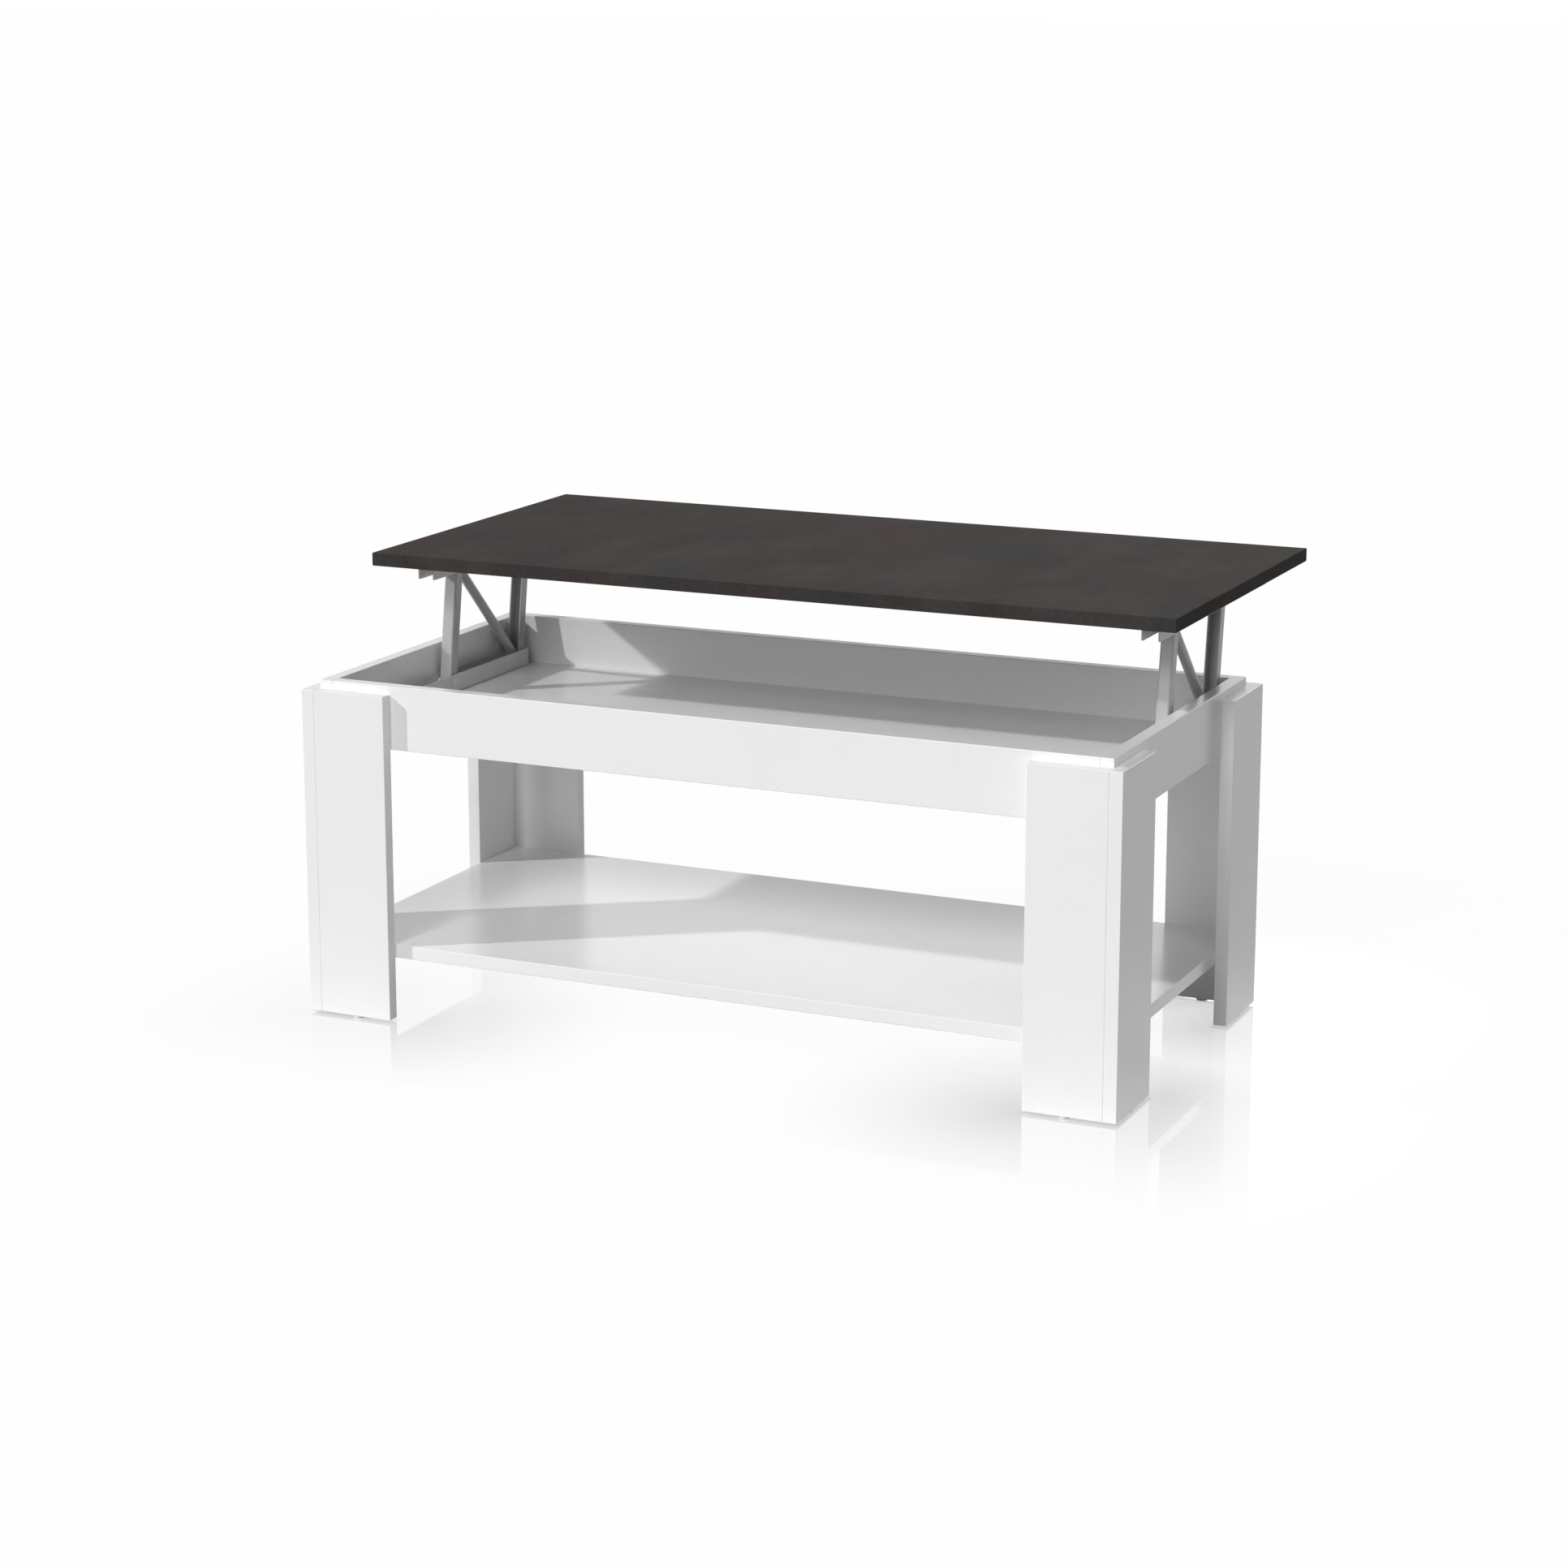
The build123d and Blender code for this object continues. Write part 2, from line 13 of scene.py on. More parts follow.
import bpy
import numpy as np
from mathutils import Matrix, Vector


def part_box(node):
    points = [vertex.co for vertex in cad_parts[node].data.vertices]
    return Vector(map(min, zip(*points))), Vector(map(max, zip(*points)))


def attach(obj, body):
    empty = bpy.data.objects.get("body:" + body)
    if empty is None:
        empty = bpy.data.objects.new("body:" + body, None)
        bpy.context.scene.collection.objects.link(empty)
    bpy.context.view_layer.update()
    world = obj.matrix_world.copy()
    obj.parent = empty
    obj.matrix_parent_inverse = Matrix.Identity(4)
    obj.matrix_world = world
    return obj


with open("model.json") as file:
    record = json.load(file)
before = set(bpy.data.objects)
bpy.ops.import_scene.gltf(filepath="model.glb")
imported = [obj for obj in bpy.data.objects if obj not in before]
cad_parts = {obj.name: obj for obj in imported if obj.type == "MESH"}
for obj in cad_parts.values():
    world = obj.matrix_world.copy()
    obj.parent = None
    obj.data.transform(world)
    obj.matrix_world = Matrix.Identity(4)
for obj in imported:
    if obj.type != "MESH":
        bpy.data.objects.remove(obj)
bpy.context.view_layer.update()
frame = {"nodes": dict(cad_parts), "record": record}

# %% [markdown]
# ## The camera
# The picture was taken a little above the table, from the right of its front,
# with the upright edges parallel. A lens could be guessed by eye, but the corners
# of the boards are known in metres, so the camera's place was solved from them.
# Parallel uprights need a level camera and a lens that is shifted by half of the
# picture, and such a shift would push the table out of every other view. So the
# place is kept, the camera is tilted down, the shift is small, and the uprights
# lean together by a hundredth of the picture's width.

# %% Camera
IMAGE_WIDTH = 1932
FOCAL_PIXELS = 4442.1
SENSOR_WIDTH = 36.0
CAMERA_PLACE = (1.7262, -3.7890, 1.2821)
CAMERA_TILT = 12.321
CAMERA_TURN = 24.494
CAMERA_SHIFT = -0.05
LEVEL = 90.0

scene = bpy.context.scene
lens = bpy.data.cameras.new("camera")
lens.sensor_width = SENSOR_WIDTH
lens.lens = FOCAL_PIXELS / IMAGE_WIDTH * SENSOR_WIDTH
lens.shift_y = CAMERA_SHIFT
camera = bpy.data.objects.new("camera", lens)
camera.location = CAMERA_PLACE
camera.rotation_euler = (math.radians(LEVEL - CAMERA_TILT), 0.0, math.radians(CAMERA_TURN))
scene.collection.objects.link(camera)
scene.camera = camera
print(f"lens {lens.lens:.1f} mm, camera {camera.location.length:.2f} m from the origin")

# %% [markdown]
# ## Light
# Six lamps make the picture's light. A hard one, the key, stands on the left in
# front of the table, and throws the crisp wedges behind the legs and into the
# box: its direction was read from the wedge that the left leg leaves on the front
# apron. A soft one in front lights the faces of the boards, a small box overhead
# whitens their tops, and a panel far in front reaches into the box below the
# raised top. A faint one from the right leaves the ends a plain grey, and one from
# behind lights the back, which the picture doesn't show. Light adds up, so the
# strengths were started from renders of one lamp at a time, and were then set
# against the tones of the boards. The world fills the rest, and rays that go
# to the camera or mirror in a surface meet plain white, as the empty page behind
# the table is.

# %% Lamps
KEY_TRAVEL = (0.715, 0.487, -0.500)
KEY_STRENGTH = 1.80
KEY_ANGLE = 2.0
FRONT_TRAVEL = (0.05, 0.84, -0.54)
FRONT_STRENGTH = 0.93
FRONT_ANGLE = 12.0
SIDE_TRAVEL = (-0.64, 0.58, -0.50)
SIDE_STRENGTH = 0.32
SIDE_ANGLE = 30.0
BACK_TRAVEL = (-0.05, -0.94, -0.33)
BACK_STRENGTH = 0.60
BACK_ANGLE = 40.0
BOX_PLACE = (0.3, -0.8, 2.2)
BOX_AIM = (-0.15, 0.0, 0.40)
BOX_SIZE = (0.5, 0.5)
BOX_POWER = 1.5
PANEL_PLACE = (-0.2, -4.6, 2.1)
PANEL_AIM = (0.0, 0.0, 0.38)
PANEL_SIZE = (2.4, 2.6)
PANEL_POWER = 42.0


def add_lamp(lamp, travel, place=(0.0, 0.0, 0.0)):
    """Hang a lamp at a place so that its light travels in one direction."""
    holder = bpy.data.objects.new(lamp.name, lamp)
    holder.location = place
    holder.rotation_euler = Vector(travel).to_track_quat("-Z", "Y").to_euler()
    scene.collection.objects.link(holder)


def add_sun(name, strength, angle, travel):
    """Add parallel light of a strength, blurred by an angle in degrees."""
    lamp = bpy.data.lights.new(name, "SUN")
    lamp.energy = strength
    lamp.angle = math.radians(angle)
    add_lamp(lamp, travel)


def add_soft_box(name, power, size, place, aim):
    """Add a glowing rectangle of a power in watts that faces a point."""
    lamp = bpy.data.lights.new(name, "AREA")
    lamp.shape = "RECTANGLE"
    lamp.size, lamp.size_y = size
    lamp.energy = power
    add_lamp(lamp, Vector(aim) - Vector(place), place)


add_sun("key", KEY_STRENGTH, KEY_ANGLE, KEY_TRAVEL)
add_sun("front_light", FRONT_STRENGTH, FRONT_ANGLE, FRONT_TRAVEL)
add_sun("side_light", SIDE_STRENGTH, SIDE_ANGLE, SIDE_TRAVEL)
add_sun("back_light", BACK_STRENGTH, BACK_ANGLE, BACK_TRAVEL)
add_soft_box("overhead_box", BOX_POWER, BOX_SIZE, BOX_PLACE, BOX_AIM)
add_soft_box("front_panel", PANEL_POWER, PANEL_SIZE, PANEL_PLACE, PANEL_AIM)
print("suns", KEY_STRENGTH, FRONT_STRENGTH, SIDE_STRENGTH, BACK_STRENGTH)
print("soft boxes", BOX_POWER, PANEL_POWER, "W")

# %% Helpers for values in a net of nodes
def node_math(tree, operation, first, second):
    """Return what one operation, such as MULTIPLY, makes of two sockets or numbers."""
    node = tree.nodes.new("ShaderNodeMath")
    node.operation = operation
    for value, socket in zip((first, second), node.inputs):
        if isinstance(value, float):
            socket.default_value = value
        else:
            tree.links.new(value, socket)
    return node.outputs[0]


def span_value(tree, value, low, high, reach=1.0):
    """Return low where the value is 0, high where it is reach or more, and a line between."""
    span = tree.nodes.new("ShaderNodeMapRange")
    span.inputs["From Max"].default_value = reach
    span.inputs["To Min"].default_value = low
    span.inputs["To Max"].default_value = high
    tree.links.new(value, span.inputs["Value"])
    return span.outputs["Result"]


# %% World
FILL_STRENGTH = 0.11
PAGE_STRENGTH = 1.0
WHITE = (1.0, 1.0, 1.0)


def page_rays(tree):
    """Return a socket that is 1 for rays that meet the white page and 0 for rays of light."""
    rays = tree.nodes.new("ShaderNodeLightPath").outputs
    mirrored = node_math(tree, "MAXIMUM", rays["Is Glossy Ray"], rays["Is Transmission Ray"])
    return node_math(tree, "MAXIMUM", rays["Is Camera Ray"], mirrored)


world = bpy.data.worlds.new("page")
world.use_nodes = True
scene.world = world
tree = world.node_tree
sky = tree.nodes["Background"]
sky.inputs["Color"].default_value = (*WHITE, 1.0)
sky_strength = span_value(tree, page_rays(tree), FILL_STRENGTH, PAGE_STRENGTH)
tree.links.new(sky_strength, sky.inputs["Strength"])
scene.view_settings.view_transform = "Standard"
print("fill", FILL_STRENGTH)

# %% [markdown]
# ## Meshes from arrays
# Every new piece here is a surface over a grid of two numbers: one runs along
# the rows and the other along the columns. The corners are worked out as one
# array, and the faces follow from the grid, so no loop walks over vertices.

# %% Helper for grid surfaces
def grid_faces(rows, columns, closed):
    """Return the quads of one grid: corner (i, j) joins (i, j+1), (i+1, j+1) and (i+1, j).

    A closed grid also joins its last column to its first.
    """
    across = columns if closed else columns - 1
    row, column = np.meshgrid(np.arange(rows - 1), np.arange(across), indexing="ij")
    following = (column + 1) % columns
    quads = [
        row * columns + column,
        row * columns + following,
        (row + 1) * columns + following,
        (row + 1) * columns + column,
    ]
    return np.stack(quads, axis=-1).reshape(-1, 4)


def surface_piece(name, points, faces, material):
    """Make one mesh object from an array of corners and the faces that join them."""
    mesh = bpy.data.meshes.new(name)
    mesh.from_pydata(points.reshape(-1, 3), [], faces)
    mesh.materials.append(material)
    mesh.shade_smooth()
    piece = bpy.data.objects.new(name, mesh)
    scene.collection.objects.link(piece)
    return piece


# %% [markdown]
# ## Finishes
# A finish is a small net of nodes. Each one reads the Object coordinates, in
# metres, so a pattern has a true size: a noise of scale 700 has bumps of about
# one and a half millimetres. Values that are the same all over a surface are
# set on the shader, and only what varies is linked.

# %% Helpers for finishes
WIDE_BAND = (0.3, 0.7)
NARROW_BAND = (0.35, 0.65)


def grey(value):
    """Return a neutral colour."""
    return (value, value, value)


def start_finish(name, specular, metallic=0.0):
    """Return a new material, its tree, its shader and the socket of Object coordinates."""
    material = bpy.data.materials.new(name)
    material.use_nodes = True
    tree = material.node_tree
    shader = tree.nodes["Principled BSDF"]
    shader.inputs["Specular IOR Level"].default_value = specular
    shader.inputs["Metallic"].default_value = metallic
    place = tree.nodes.new("ShaderNodeTexCoord")
    return material, tree, shader, place.outputs["Object"]


def noise(tree, place, scale, detail=2.0, stretch=(1.0, 1.0, 1.0)):
    """Return a noise value between 0 and 1. A stretch below 1 draws it out along that axis."""
    mapping = tree.nodes.new("ShaderNodeMapping")
    mapping.inputs["Scale"].default_value = stretch
    tree.links.new(place, mapping.inputs["Vector"])
    texture = tree.nodes.new("ShaderNodeTexNoise")
    texture.inputs["Scale"].default_value = scale
    texture.inputs["Detail"].default_value = detail
    tree.links.new(mapping.outputs["Vector"], texture.inputs["Vector"])
    return texture.outputs[0]


def tones(tree, value, band, dark, light):
    """Return a colour that goes from dark to light as the value crosses the band."""
    ramp = tree.nodes.new("ShaderNodeValToRGB")
    first, last = ramp.color_ramp.elements
    first.position, last.position = band
    first.color = (*dark, 1.0)
    last.color = (*light, 1.0)
    tree.links.new(value, ramp.inputs["Fac"])
    return ramp.outputs["Color"]


def mix_colours(tree, mode, first, second):
    """Return a node that mixes two colours, and the socket of the mixed colour."""
    mix = tree.nodes.new("ShaderNodeMix")
    mix.data_type = "RGBA"
    mix.blend_type = mode
    tree.links.new(first, mix.inputs["A"])
    tree.links.new(second, mix.inputs["B"])
    return mix, mix.outputs["Result"]


def lay_over(tree, cover, first, second):
    """Return the second colour laid over the first, as much as the cover says."""
    mix, colour = mix_colours(tree, "MIX", first, second)
    tree.links.new(cover, mix.inputs["Factor"])
    return colour


def multiply(tree, first, second):
    """Return the product of two colours."""
    mix, colour = mix_colours(tree, "MULTIPLY", first, second)
    mix.inputs["Factor"].default_value = 1.0
    return colour


def paint(tree, shader, colour, roughness):
    """Link a varying colour and a varying roughness to a shader."""
    tree.links.new(colour, shader.inputs["Base Color"])
    tree.links.new(roughness, shader.inputs["Roughness"])


def raise_grain(tree, shader, height, depth, strength):
    """Tilt the shading as if the surface rose by up to depth metres where the height is 1."""
    bump = tree.nodes.new("ShaderNodeBump")
    bump.inputs["Distance"].default_value = depth
    bump.inputs["Strength"].default_value = strength
    tree.links.new(height, bump.inputs["Height"])
    tree.links.new(bump.outputs["Normal"], shader.inputs["Normal"])


finishes = {}

# %% [markdown]
# ### White melamine
# The base boards are chipboard with a white melamine face and white edging. The
# face is pressed against a satin plate, so it keeps a very fine orange-peel, its
# gloss wanders a little, and no two boards are the same white to the last shade.
# A plain white would look like paper, so each of those effects has a noise of its
# own. Melamine resin bends light more than most plastics do, so it mirrors more.

# %% White boards
MELAMINE_LOW = (0.866, 0.866, 0.865)
MELAMINE_HIGH = (0.880, 0.880, 0.879)
MELAMINE_ROUGHNESS = (0.18, 0.26)
MELAMINE_FLECK = 0.992

material, tree, shader, place = start_finish("white_melamine", specular=0.75)
tone_noise = noise(tree, place, scale=9.0, detail=4.0)
fleck_noise = noise(tree, place, scale=420.0)
board_tone = tones(tree, tone_noise, WIDE_BAND, MELAMINE_LOW, MELAMINE_HIGH)
fleck_tone = tones(tree, fleck_noise, NARROW_BAND, grey(MELAMINE_FLECK), WHITE)
gloss = span_value(tree, noise(tree, place, scale=30.0), *MELAMINE_ROUGHNESS)
paint(tree, shader, multiply(tree, board_tone, fleck_tone), gloss)
raise_grain(tree, shader, noise(tree, place, scale=700.0), depth=0.00002, strength=0.1)
finishes["white_melamine"] = material
print("white boards", MELAMINE_LOW, "to", MELAMINE_HIGH)

# %% [markdown]
# ### Dark slate laminate
# The top has a printed laminate that copies a dark oxidised stone: a brown-grey
# ground with hand-wide clouds of mauve, of cool grey and of olive, and a fine
# grain and speckle over all. It runs over the edges too. Clouds of different
# sizes are laid over each other, and the speckle also lifts the surface a little,
# because the print is embossed. The finish is matt, or the white page would
# mirror in it.

# %% Dark top
SLATE_DEEP = (0.044, 0.040, 0.037)
SLATE_PALE = (0.069, 0.060, 0.057)
SLATE_MAUVE = (0.077, 0.053, 0.053)
SLATE_COOL = (0.044, 0.048, 0.056)
SLATE_OLIVE = (0.057, 0.053, 0.042)
SLATE_ROUGHNESS = (0.62, 0.74)
CLOUD_STRETCH = (1.0, 0.55, 1.0)
CLOUD_COVER = 0.8
SPECKLE_BAND = (0.2, 0.8)
SPECKLE_DARK = 0.82
GRAIN_DARK = 0.86
CLOUDS = (
    (9.0, (0.48, 0.68), SLATE_MAUVE),
    (11.5, (0.52, 0.70), SLATE_COOL),
    (7.3, (0.55, 0.72), SLATE_OLIVE),
)

material, tree, shader, place = start_finish("slate_laminate", specular=0.02)
speckle_noise = noise(tree, place, scale=520.0, detail=4.0)
grain_noise = noise(tree, place, scale=210.0, detail=5.0)
ground_noise = noise(tree, place, scale=16.0, detail=7.0, stretch=CLOUD_STRETCH)
slate = tones(tree, ground_noise, WIDE_BAND, SLATE_DEEP, SLATE_PALE)
for scale, band, colour in CLOUDS:
    cloud_noise = noise(tree, place, scale, detail=6.0, stretch=CLOUD_STRETCH)
    cover = tones(tree, cloud_noise, band, grey(0.0), grey(CLOUD_COVER))
    cloud = tones(tree, speckle_noise, SPECKLE_BAND, SLATE_DEEP, colour)
    slate = lay_over(tree, cover, slate, cloud)
slate = multiply(tree, slate, tones(tree, grain_noise, NARROW_BAND, grey(GRAIN_DARK), WHITE))
slate = multiply(tree, slate, tones(tree, speckle_noise, NARROW_BAND, grey(SPECKLE_DARK), WHITE))
paint(tree, shader, slate, span_value(tree, speckle_noise, *SLATE_ROUGHNESS))
raise_grain(tree, shader, speckle_noise, depth=0.0001, strength=0.25)
finishes["slate_laminate"] = material
print("top from", SLATE_DEEP, "to", SLATE_PALE, "with", len(CLOUDS), "kinds of cloud")

# %% [markdown]
# ### Powder coats
# The rails, arms and tubes are folded steel under a powder coat: a pale grey on
# the rails and their pins, and a middle grey on the arms and the struts. Powder
# flows into a pebbled skin when it is baked, so the finish has a fine bump, and
# the coat is a little darker in the hollows of that bump. One function makes both greys.

# %% Powder coated steel
COATS = {
    "grey_painted_steel": ((0.40, 0.40, 0.405), (0.44, 0.44, 0.445)),
    "pale_painted_steel": ((0.64, 0.64, 0.645), (0.69, 0.69, 0.695)),
}
COAT_ROUGHNESS = (0.30, 0.42)
COAT_HOLLOW = 0.93


def coated_steel(name, low, high):
    """Make a powder coat: a tone that wanders between two greys and a pebbled skin."""
    material, tree, shader, place = start_finish(name, specular=0.9)
    pebble_noise = noise(tree, place, scale=1500.0)
    coat_tone = tones(tree, noise(tree, place, scale=28.0, detail=4.0), WIDE_BAND, low, high)
    # Where the pebble noise is low the bump is low and the coat is a little darker.
    pebble_tone = tones(tree, pebble_noise, WIDE_BAND, grey(COAT_HOLLOW), WHITE)
    gloss = span_value(tree, pebble_noise, *COAT_ROUGHNESS)
    paint(tree, shader, multiply(tree, coat_tone, pebble_tone), gloss)
    raise_grain(tree, shader, pebble_noise, depth=0.00006, strength=0.3)
    return material


for name, (low, high) in COATS.items():
    finishes[name] = coated_steel(name, low, high)
print("powder coats", sorted(COATS))

# %% [markdown]
# ### Bare metal
# The rods of the struts are ground and polished, and the screws, pins and cams
# are plated with zinc. Both are metals, so their colour is the colour of their
# mirror. Grinding leaves fine rings round a rod, and zinc has a cloudy, slightly
# blue and yellow bloom.

# %% Rods and fixings
ROD_LOW = (0.50, 0.50, 0.51)
ROD_HIGH = (0.62, 0.62, 0.63)
ROD_ROUGHNESS = (0.14, 0.30)
RING_STRETCH = (0.05, 1.0, 1.0)
ZINC_BLUE = (0.55, 0.56, 0.60)
ZINC_YELLOW = (0.66, 0.65, 0.60)
ZINC_ROUGHNESS = (0.26, 0.44)

material, tree, shader, place = start_finish("polished_rod", specular=0.5, metallic=1.0)
ring_noise = noise(tree, place, scale=900.0, stretch=RING_STRETCH)
rod_tone = tones(tree, ring_noise, WIDE_BAND, ROD_LOW, ROD_HIGH)
paint(tree, shader, rod_tone, span_value(tree, ring_noise, *ROD_ROUGHNESS))
finishes["polished_rod"] = material

material, tree, shader, place = start_finish("zinc_steel", specular=0.5, metallic=1.0)
bloom_noise = noise(tree, place, scale=240.0, detail=3.0)
zinc_tone = tones(tree, bloom_noise, WIDE_BAND, ZINC_BLUE, ZINC_YELLOW)
paint(tree, shader, zinc_tone, span_value(tree, bloom_noise, *ZINC_ROUGHNESS))
raise_grain(tree, shader, noise(tree, place, scale=1600.0), depth=0.00005, strength=0.3)
finishes["zinc_steel"] = material
print("rods", ROD_LOW, "to", ROD_HIGH, "and zinc", ZINC_BLUE, "to", ZINC_YELLOW)

# %% [markdown]
# ### Wood and plastics
# Beech dowels hide inside the joints, white nylon makes the washers and the caps
# over the screws, and white plastic makes the glides under the legs. Dowel grain
# runs along the dowel, so its noise is stretched. Moulded plastic has a faint
# spark-eroded texture.

# %% Dowels, nylon and glides
BEECH_DARK = (0.50, 0.35, 0.21)
BEECH_PALE = (0.68, 0.52, 0.34)
BEECH_ROUGHNESS = (0.55, 0.70)
DOWEL_STRETCH = (1.0, 1.0, 0.08)
MOULDED = {
    "white_nylon": ((0.80, 0.80, 0.79), (0.86, 0.86, 0.85), (0.40, 0.55)),
    "glide_plastic": ((0.76, 0.76, 0.75), (0.83, 0.83, 0.82), (0.50, 0.65)),
}

material, tree, shader, place = start_finish("beech_dowel", specular=0.3)
wood_noise = noise(tree, place, scale=260.0, detail=5.0, stretch=DOWEL_STRETCH)
wood_tone = tones(tree, wood_noise, WIDE_BAND, BEECH_DARK, BEECH_PALE)
paint(tree, shader, wood_tone, span_value(tree, wood_noise, *BEECH_ROUGHNESS))
finishes["beech_dowel"] = material


def moulded_finish(name, low, high, roughness):
    """Make a moulded plastic: a soft tone between two colours and a fine eroded texture."""
    material, tree, shader, place = start_finish(name, specular=0.4)
    tone = tones(tree, noise(tree, place, scale=180.0, detail=3.0), WIDE_BAND, low, high)
    erosion = noise(tree, place, scale=2600.0)
    paint(tree, shader, tone, span_value(tree, erosion, *roughness))
    raise_grain(tree, shader, erosion, depth=0.00004, strength=0.3)
    return material


for name, (low, high, roughness) in MOULDED.items():
    finishes[name] = moulded_finish(name, low, high, roughness)
print("finishes made:", sorted(finishes))

# %% [markdown]
# ## Dressing the parts
# The record of the table says which finish every part has. Reading it keeps the
# picture and the record in step: each part's own material slots get the finish
# of that name, and no part is forgotten.

# %% Give each part its finish
dressed = 0
for row in frame["record"]["subparts"]:
    part = frame["nodes"][row["node"]]
    for slot in part.material_slots:
        slot.material = finishes[row["material_slot"]]
        dressed += 1
print("dressed", dressed, "slots of", len(frame["nodes"]), "parts")

# %% [markdown]
# ## Drives of the screws and cams
# Each rail is held by countersunk screws with a cross drive, and each cam under
# the shelf is turned with the same driver. The solid heads are plain discs, so a
# thin closed cross sits on each. It could be cut out of the head, but the heads
# belong to the solid table, so the cross is slightly dished and painted dark with
# the shade that would fill a recessed drive; that painted shade reads as the
# drive at every distance.

# %% Cross drives
CROSS_RINGS = 6
CROSS_SIDES = 96
CROSS_LIFT = 0.00006
CROSS_DISH = 0.00004
CROSS_SINK = 0.00004


def cross_drives(centres, facing, reach, half_width):
    """Return the corners and faces of one thin closed cross per centre.

    In a direction with cosine c and sine s, the cross ends at the nearer of its
    tip, reach over the larger of c and s, and its flank, half_width over the
    smaller. Rings scale that outline from the middle to the rim, and the height
    falls from the rim to the middle with one minus the square of the ring. A last
    ring repeats the rim a little below the head, and a fan of triangles round one
    point closes each end.
    """
    angle = np.linspace(0.0, 2.0 * np.pi, CROSS_SIDES, endpoint=False)
    cosine = np.abs(np.cos(angle))
    sine = np.abs(np.sin(angle))
    tip = reach / np.maximum(cosine, sine)
    flank = half_width / np.maximum(np.minimum(cosine, sine), half_width / (2.0 * reach))
    outline = np.minimum(tip, flank)
    top_ring = np.linspace(0.0, 1.0, CROSS_RINGS + 1)[1:]
    ring = np.append(top_ring, 1.0)[:, None]
    height = np.append(CROSS_LIFT - CROSS_DISH * (1.0 - top_ring ** 2), -CROSS_SINK)[:, None]
    x = ring * outline * np.cos(angle)
    y = ring * outline * np.sin(angle) * facing
    z = height * facing + np.zeros_like(x)
    poles = np.array([(0.0, 0.0, CROSS_LIFT - CROSS_DISH), (0.0, 0.0, -CROSS_SINK)]) * facing
    one = np.concatenate([np.stack([x, y, z], axis=-1).reshape(-1, 3), poles])
    points = centres[:, None, :] + one[None, :, :]

    quads = grid_faces(CROSS_RINGS + 1, CROSS_SIDES, closed=True)[:, ::-1]
    side = np.arange(CROSS_SIDES)
    following = (side + 1) % CROSS_SIDES
    last = CROSS_RINGS * CROSS_SIDES
    upper_fan = np.stack([np.full_like(side, len(one) - 2), side, following], axis=-1)
    lower_fan = np.stack([np.full_like(side, len(one) - 1), last + following, last + side], axis=-1)
    starts = np.arange(len(centres))[:, None, None] * len(one)
    faces = (quads + starts).reshape(-1, 4).tolist()
    faces += (np.concatenate([upper_fan, lower_fan]) + starts).reshape(-1, 3).tolist()
    return points, faces


# %% Cross drives in place
RAIL_SHEET = 0.002
SCREW_INSET = 0.035
SCREWS_ON_RAIL = 4
SCREW_CROSS = (0.0024, 0.0005)
CAM_CROSS = (0.0046, 0.0009)
CAM_RADIUS = 0.0075
CAM_FROM_FRONT = 0.060
CAM_FROM_END = 0.080
# The drive colours are painted shade: the dark that would fill a recessed cross.
DRIVE_SHADE_LOW = (0.06, 0.06, 0.065)
DRIVE_SHADE_HIGH = (0.12, 0.12, 0.125)
DRIVE_ROUGHNESS = (0.45, 0.65)

drive_shadow, tree, shader, place = start_finish("drive_shadow", specular=0.3, metallic=1.0)
drive_noise = noise(tree, place, scale=1800.0)
drive_shade_tone = tones(tree, drive_noise, WIDE_BAND, DRIVE_SHADE_LOW, DRIVE_SHADE_HIGH)
paint(tree, shader, drive_shade_tone, span_value(tree, drive_noise, *DRIVE_ROUGHNESS))


def rail_centres(nodes, height):
    """Return the middles of the screws along each of these rails, at one height."""
    boxes = [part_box(node) for node in nodes]
    ends = [(low.y + SCREW_INSET, high.y - SCREW_INSET) for low, high in boxes]
    runs = [np.linspace(first, last, SCREWS_ON_RAIL) for first, last in ends]
    middles = [np.full(SCREWS_ON_RAIL, (low.x + high.x) / 2.0) for low, high in boxes]
    run = np.concatenate(runs)
    return np.stack([np.concatenate(middles), run, np.full_like(run, height)], axis=-1)


def add_drives(name, centres, facing, size, body):
    """Make the cross drives of one set of heads and let them move with their body."""
    points, faces = cross_drives(centres, facing, *size)
    piece = surface_piece(name, points, faces, drive_shadow)
    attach(piece, body)
    print(name, len(centres), "drives")


lower_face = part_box("lower_rail_left")[0].z + RAIL_SHEET
upper_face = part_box("upper_rail_left")[1].z - RAIL_SHEET
lower_centres = rail_centres(("lower_rail_left", "lower_rail_right"), lower_face)
upper_centres = rail_centres(("upper_rail_left", "upper_rail_right"), upper_face)
cam_low, cam_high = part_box("shelf_cams")
table_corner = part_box("leg_rear_right_side")[1]
quarter = np.array([
    (cam_high.x - CAM_RADIUS, table_corner.y - CAM_FROM_FRONT, cam_low.z),
    (table_corner.x - CAM_FROM_END, cam_high.y - CAM_RADIUS, cam_low.z),
])
signs = np.array([(-1, -1, 1), (1, -1, 1), (-1, 1, 1), (1, 1, 1)])
cam_centres = (signs[:, None, :] * quarter[None, :, :]).reshape(-1, 3)
add_drives("lower_rail_screw_drive_shades", lower_centres, 1.0, SCREW_CROSS, "base")
add_drives("upper_rail_screw_drive_shades", upper_centres, -1.0, SCREW_CROSS, "tabletop")
add_drives("shelf_cam_drive_shades", cam_centres, -1.0, CAM_CROSS, "base")

# %% [markdown]
# ## The floor
# The table stands on an empty white page, and its feet mirror in it and fade away
# over a forearm's length. The floor is a large flat grid. The light that it throws
# back is less than a third of what falls on it, so that the shaded ends of the
# table stay grey. For the camera it is mostly plain white, with enough of a matt
# surface left to keep a pale shadow. The mirror is strongest at the legs and fades
# with the distance from them.

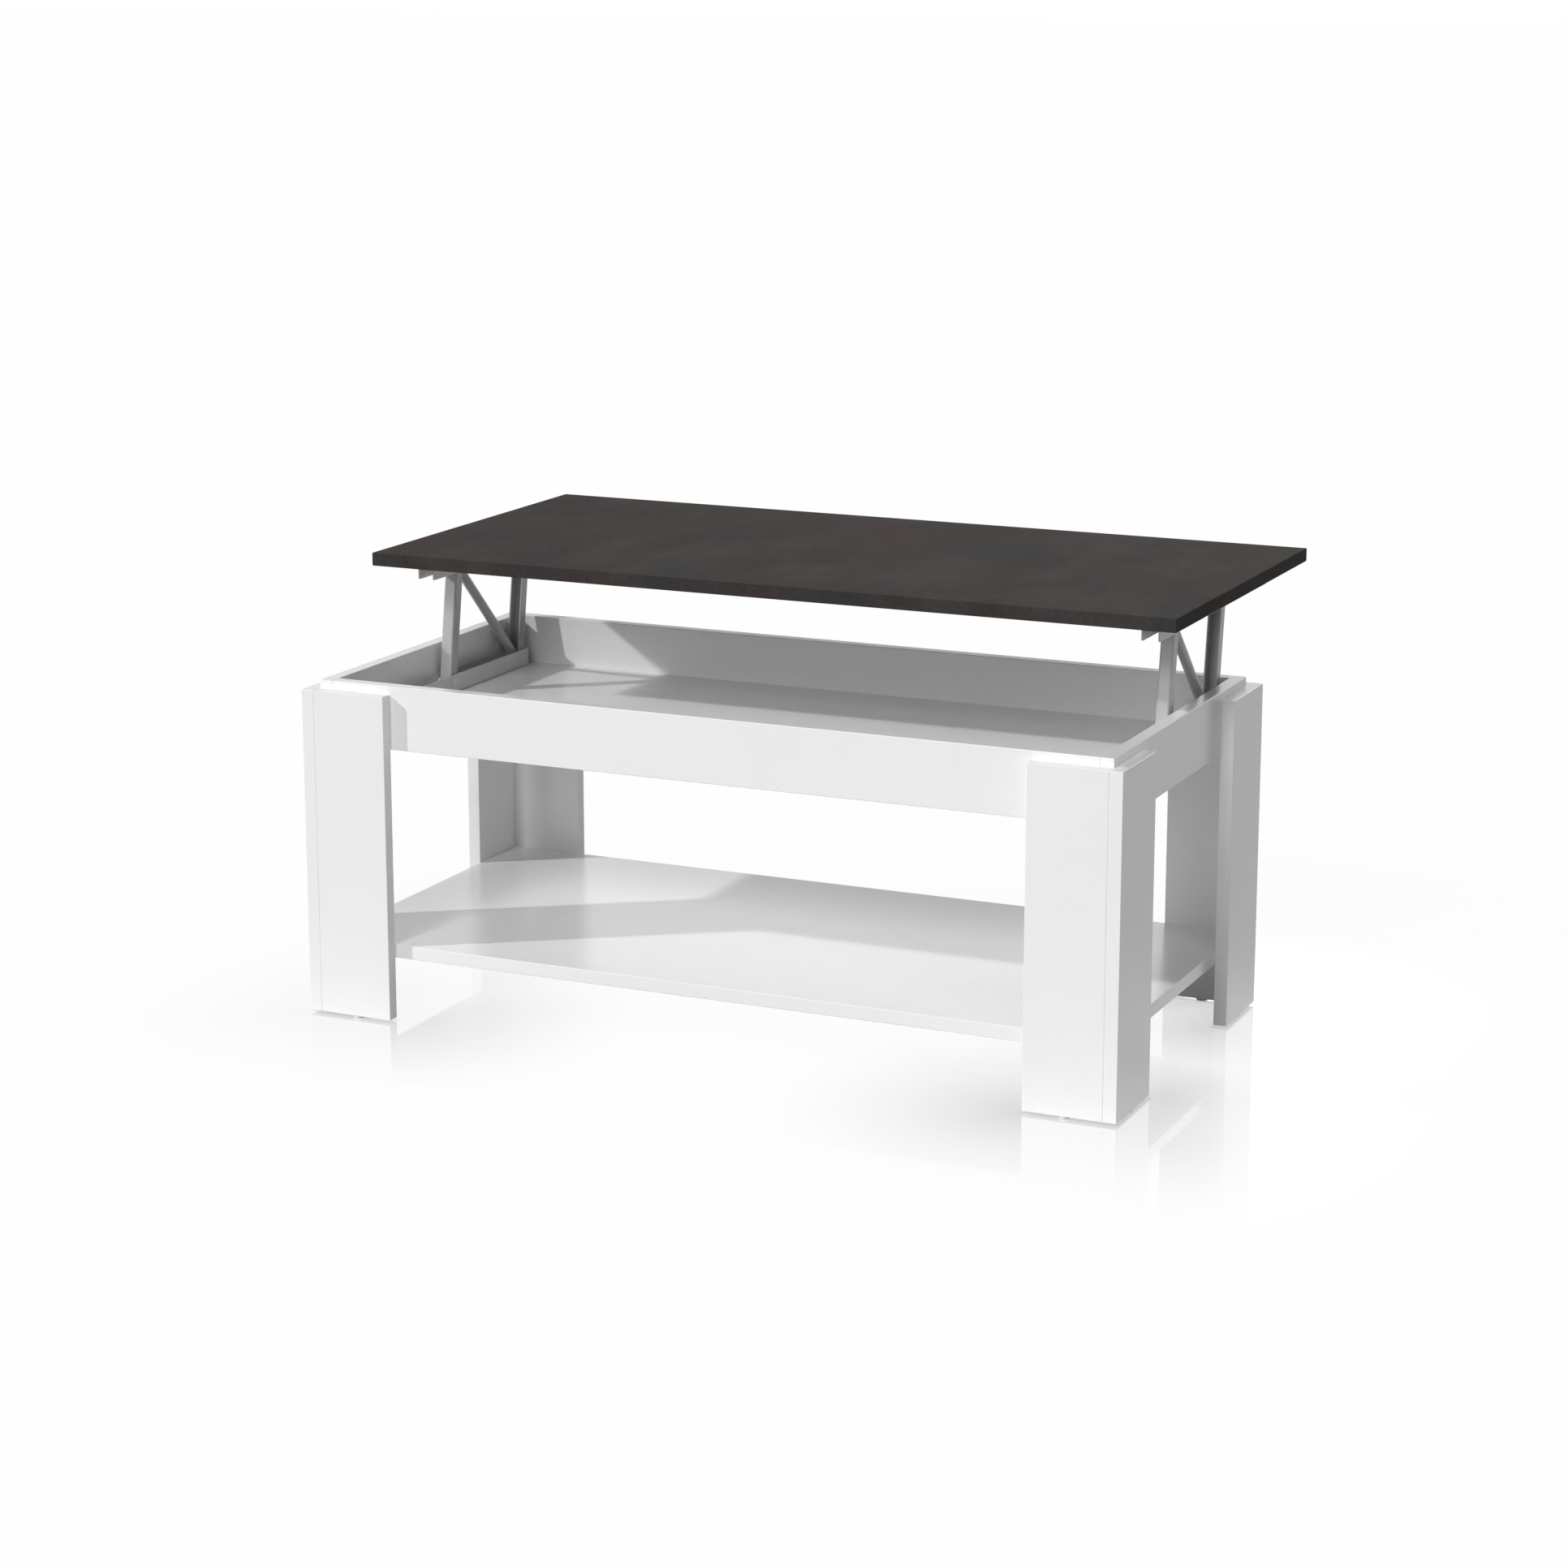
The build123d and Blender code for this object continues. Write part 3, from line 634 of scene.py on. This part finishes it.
# %% Distance from the legs
def board_distance(tree, place, board):
    """Return the distance on the floor from one leg board and from its three mirror images.

    The absolute place folds the four legs onto one. How far it lies outside the
    board on each axis is kept, and the length of that is taken.
    """
    low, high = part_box(board)
    middle = ((low.x + high.x) / 2.0, (low.y + high.y) / 2.0, 0.0)
    half = ((high.x - low.x) / 2.0, (high.y - low.y) / 2.0, 0.0)
    folds = (
        ("ABSOLUTE", None),
        ("SUBTRACT", middle),
        ("ABSOLUTE", None),
        ("SUBTRACT", half),
        ("MAXIMUM", (0.0, 0.0, 0.0)),
        ("LENGTH", None),
    )
    socket = place
    for operation, other in folds:
        node = tree.nodes.new("ShaderNodeVectorMath")
        node.operation = operation
        tree.links.new(socket, node.inputs[0])
        if other:
            node.inputs[1].default_value = other
        socket = node.outputs["Value" if operation == "LENGTH" else "Vector"]
    return socket


# %% Floor finish
FLOOR_BOUNCE = 0.29
PAGE_SHARE = 0.97
PAGE_UNDER_LEG = 0.75
CONTACT_REACH = 0.006
MIRROR_SHARE = 0.36
MIRROR_FADE = 0.34
MIRROR_ROUGHNESS = 0.04

floor_finish = bpy.data.materials.new("white_floor")
floor_finish.use_nodes = True
tree = floor_finish.node_tree
tree.nodes.remove(tree.nodes["Principled BSDF"])
place = tree.nodes.new("ShaderNodeTexCoord").outputs["Object"]
side_distance = board_distance(tree, place, "leg_rear_right_side")
face_distance = board_distance(tree, place, "leg_rear_right_face")
nearest = node_math(tree, "MINIMUM", side_distance, face_distance)
seen = page_rays(tree)

matt = tree.nodes.new("ShaderNodeBsdfDiffuse")
matt_tone = tones(tree, seen, (0.0, 1.0), grey(FLOOR_BOUNCE), WHITE)
tree.links.new(matt_tone, matt.inputs["Color"])
page = tree.nodes.new("ShaderNodeEmission")
page.inputs["Color"].default_value = (*WHITE, 1.0)
page.inputs["Strength"].default_value = PAGE_STRENGTH
page_share = span_value(tree, nearest, PAGE_UNDER_LEG, PAGE_SHARE, CONTACT_REACH)
shadowed = tree.nodes.new("ShaderNodeMixShader")
tree.links.new(node_math(tree, "MULTIPLY", page_share, seen), shadowed.inputs["Fac"])
tree.links.new(matt.outputs["BSDF"], shadowed.inputs[1])
tree.links.new(page.outputs["Emission"], shadowed.inputs[2])

mirror = tree.nodes.new("ShaderNodeBsdfGlossy")
mirror.inputs["Roughness"].default_value = MIRROR_ROUGHNESS
fade = span_value(tree, nearest, 1.0, 0.0, MIRROR_FADE)
fade_squared = node_math(tree, "MULTIPLY", fade, fade)
mirror_share = node_math(tree, "MULTIPLY", fade_squared, MIRROR_SHARE)
polished = tree.nodes.new("ShaderNodeMixShader")
tree.links.new(mirror_share, polished.inputs["Fac"])
tree.links.new(shadowed.outputs["Shader"], polished.inputs[1])
tree.links.new(mirror.outputs["BSDF"], polished.inputs[2])
tree.links.new(polished.outputs["Shader"], tree.nodes["Material Output"].inputs["Surface"])
print("mirror fades over", MIRROR_FADE, "m")

# %% Floor
FLOOR_REACH = 40.0
FLOOR_STEPS = 9

steps = np.linspace(-FLOOR_REACH, FLOOR_REACH, FLOOR_STEPS)
across, along = np.meshgrid(steps, steps, indexing="ij")
floor_points = np.stack([along, across, np.zeros_like(along)], axis=-1)
floor_faces = grid_faces(FLOOR_STEPS, FLOOR_STEPS, closed=False)
floor = surface_piece("floor", floor_points, floor_faces, floor_finish)
print("floor", 2 * FLOOR_REACH, "m wide")
